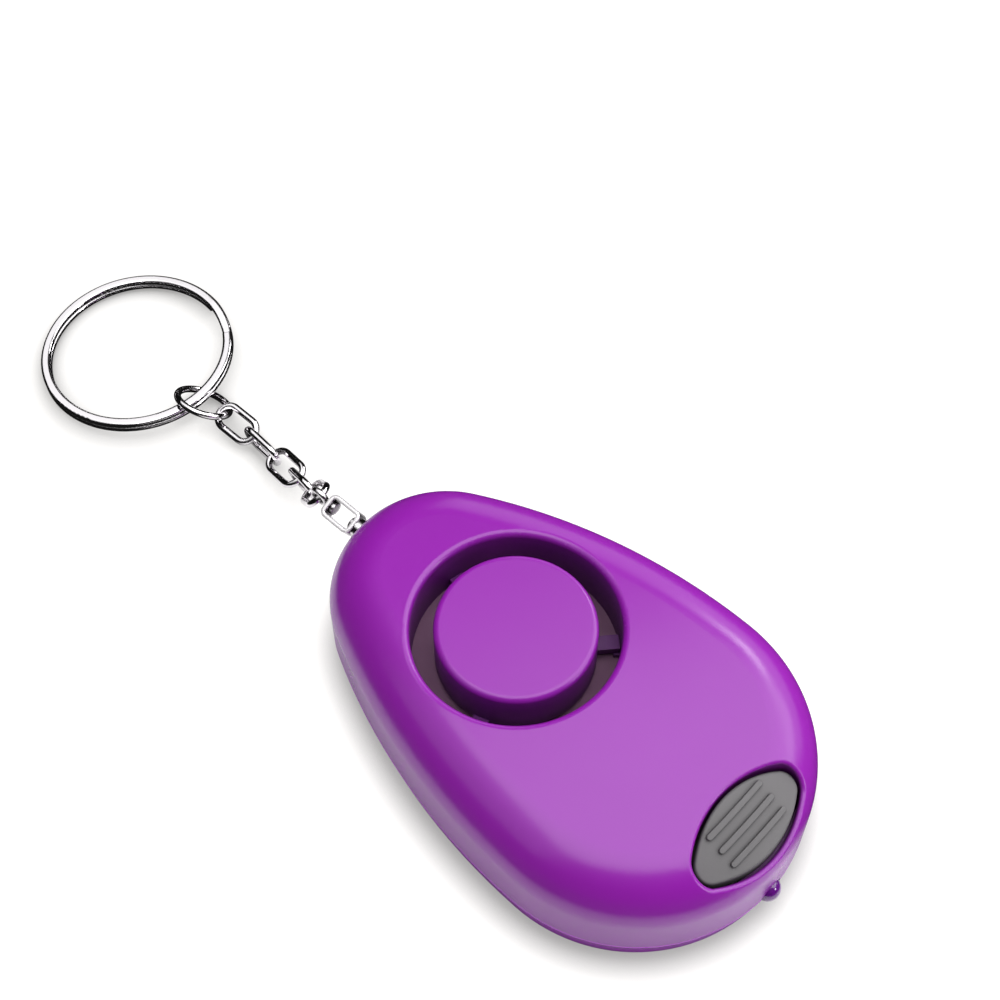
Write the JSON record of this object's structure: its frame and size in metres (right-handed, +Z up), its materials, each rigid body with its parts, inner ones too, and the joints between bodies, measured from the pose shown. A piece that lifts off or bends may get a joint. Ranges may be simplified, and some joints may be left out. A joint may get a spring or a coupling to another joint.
{
  "type": "personal safety alarm",
  "caption": "Egg-shaped key-ring personal alarm: pulling its pin sounds the siren, a button in the shoulder lights a lamp; swivel, chain and split ring hang on the pin.",
  "frame": {"origin": "middle of the housing's length and width, on its flat back", "axes": "+X towards the lamp in the wide end, -X towards the chain and split ring, +Z out of the front face with the siren well, +Y across the housing to the side that is on the left when looking from the chain end towards the lamp with +Z up"},
  "size_m": [0.1203, 0.04, 0.0181],
  "materials": {
    "shell_plastic": "satin",
    "button_rubber": "matte",
    "plated_steel": "bright",
    "lamp_lens": "clear tinted",
    "siren_plate": "dull",
    "siren_ceramic": "matte",
    "inner_plastic": "matte",
    "switch_plastic": "matte",
    "board_laminate": "satin",
    "component_black": "matte",
    "ferrite": "matte",
    "winding_copper": "enamelled",
    "capacitor_can": "satin",
    "contact_metal": "bright",
    "lead_metal": "tinned",
    "lead_red": "satin",
    "lead_black": "satin",
    "cell_steel": "bright",
    "screw_steel": "zinc plated"
  },
  "bodies": {
    "housing": {"front_shell": "shell_plastic", "rear_shell": "shell_plastic", "siren_cap": "shell_plastic", "piezo_plate": "siren_plate", "piezo_ceramic": "siren_ceramic", "buzzer_ring": "inner_plastic", "circuit_board": "board_laminate", "driver_chip": "component_black", "coil_core": "ferrite", "coil_winding": "winding_copper", "capacitor": "capacitor_can", "transistor": "component_black", "lamp_resistor": "component_black", "piezo_lead_red": "lead_red", "piezo_lead_black": "lead_black", "pin_socket": "inner_plastic", "pin_contact_left": "contact_metal", "pin_contact_right": "contact_metal", "cell_holder": "inner_plastic", "button_cell_1": "cell_steel", "button_cell_2": "cell_steel", "button_cell_3": "cell_steel", "positive_contact": "contact_metal", "cell_link_lower": "contact_metal", "cell_link_upper": "contact_metal", "negative_contact": "contact_metal", "lamp": "lamp_lens", "lamp_leads": "lead_metal", "switch_body": "switch_plastic", "switch_legs": "lead_metal", "housing_screws": "screw_steel"},
    "light_button": {"light_button": "button_rubber"},
    "switch_plunger": {"switch_plunger": "switch_plastic"},
    "pull_pin": {"pull_pin": "plated_steel", "swivel_frame": "plated_steel"},
    "swivel_eye": {"swivel_eye": "plated_steel"},
    "chain_link_1": {"chain_link_1": "plated_steel"},
    "chain_link_2": {"chain_link_2": "plated_steel"},
    "chain_link_3": {"chain_link_3": "plated_steel"},
    "chain_link_4": {"chain_link_4": "plated_steel"},
    "chain_link_5": {"chain_link_5": "plated_steel"},
    "jump_ring": {"jump_ring": "plated_steel"},
    "key_ring": {"key_ring": "plated_steel"}
  },
  "joints": [
    {"name": "button_press", "type": "slide", "parent": "housing", "child": "light_button", "axis": [0, 0, -1], "range_m": [0, 0.0004], "stiffness_N_per_m": 1500, "springref_m": -0.0007},
    {"name": "plunger_press", "type": "slide", "parent": "housing", "child": "switch_plunger", "axis": [0, 0, -1], "range_m": [0, 0.0004]},
    {"name": "pin_pull", "type": "slide", "parent": "housing", "child": "pull_pin", "axis": [-1, 0, 0], "range_m": [0, 0.015]},
    {"name": "eye_swivel", "type": "hinge", "parent": "pull_pin", "child": "swivel_eye", "pos_m": [-0.0366, 0, 0.0103], "axis": [1, 0, 0], "continuous": true},
    {"name": "link_1_swing", "type": "hinge", "parent": "swivel_eye", "child": "chain_link_1", "pos_m": [-0.0382, 0, 0.0103], "axis": [0, 0.9986, 0.0523], "range_deg": [-50, 50]},
    {"name": "link_2_swing", "type": "hinge", "parent": "chain_link_1", "child": "chain_link_2", "pos_m": [-0.04192, 0.0015, 0.00584], "axis": [-0.021, -0.9525, -0.3038], "range_deg": [-40, 40]},
    {"name": "link_3_swing", "type": "hinge", "parent": "chain_link_2", "child": "chain_link_3", "pos_m": [-0.04606, 0.00257, 0.00339], "axis": [-0.55, -0.0855, 0.8308], "range_deg": [-40, 40]},
    {"name": "link_4_swing", "type": "hinge", "parent": "chain_link_3", "child": "chain_link_4", "pos_m": [-0.05084, 0.00319, 0.00235], "axis": [-0.0488, -0.9421, -0.3319], "range_deg": [-40, 40]},
    {"name": "link_5_swing", "type": "hinge", "parent": "chain_link_4", "child": "chain_link_5", "pos_m": [-0.05573, 0.00356, 0.00218], "axis": [-0.0591, -0.0826, 0.9948], "range_deg": [-40, 40]},
    {"name": "jump_ring_swing", "type": "hinge", "parent": "chain_link_5", "child": "jump_ring", "pos_m": [-0.06063, 0.00343, 0.0023], "axis": [-0.0084, 0.9063, 0.4226], "range_deg": [-40, 40]},
    {"name": "key_ring_flip", "type": "hinge", "parent": "jump_ring", "child": "key_ring", "pos_m": [-0.06392, 0.00265, 0.00262], "axis": [0, 1, 0], "range_deg": [-60, 60]}
  ],
  "couplings": [
    {"joint": "plunger_press", "follows": "button_press", "ratio": 1}
  ]
}
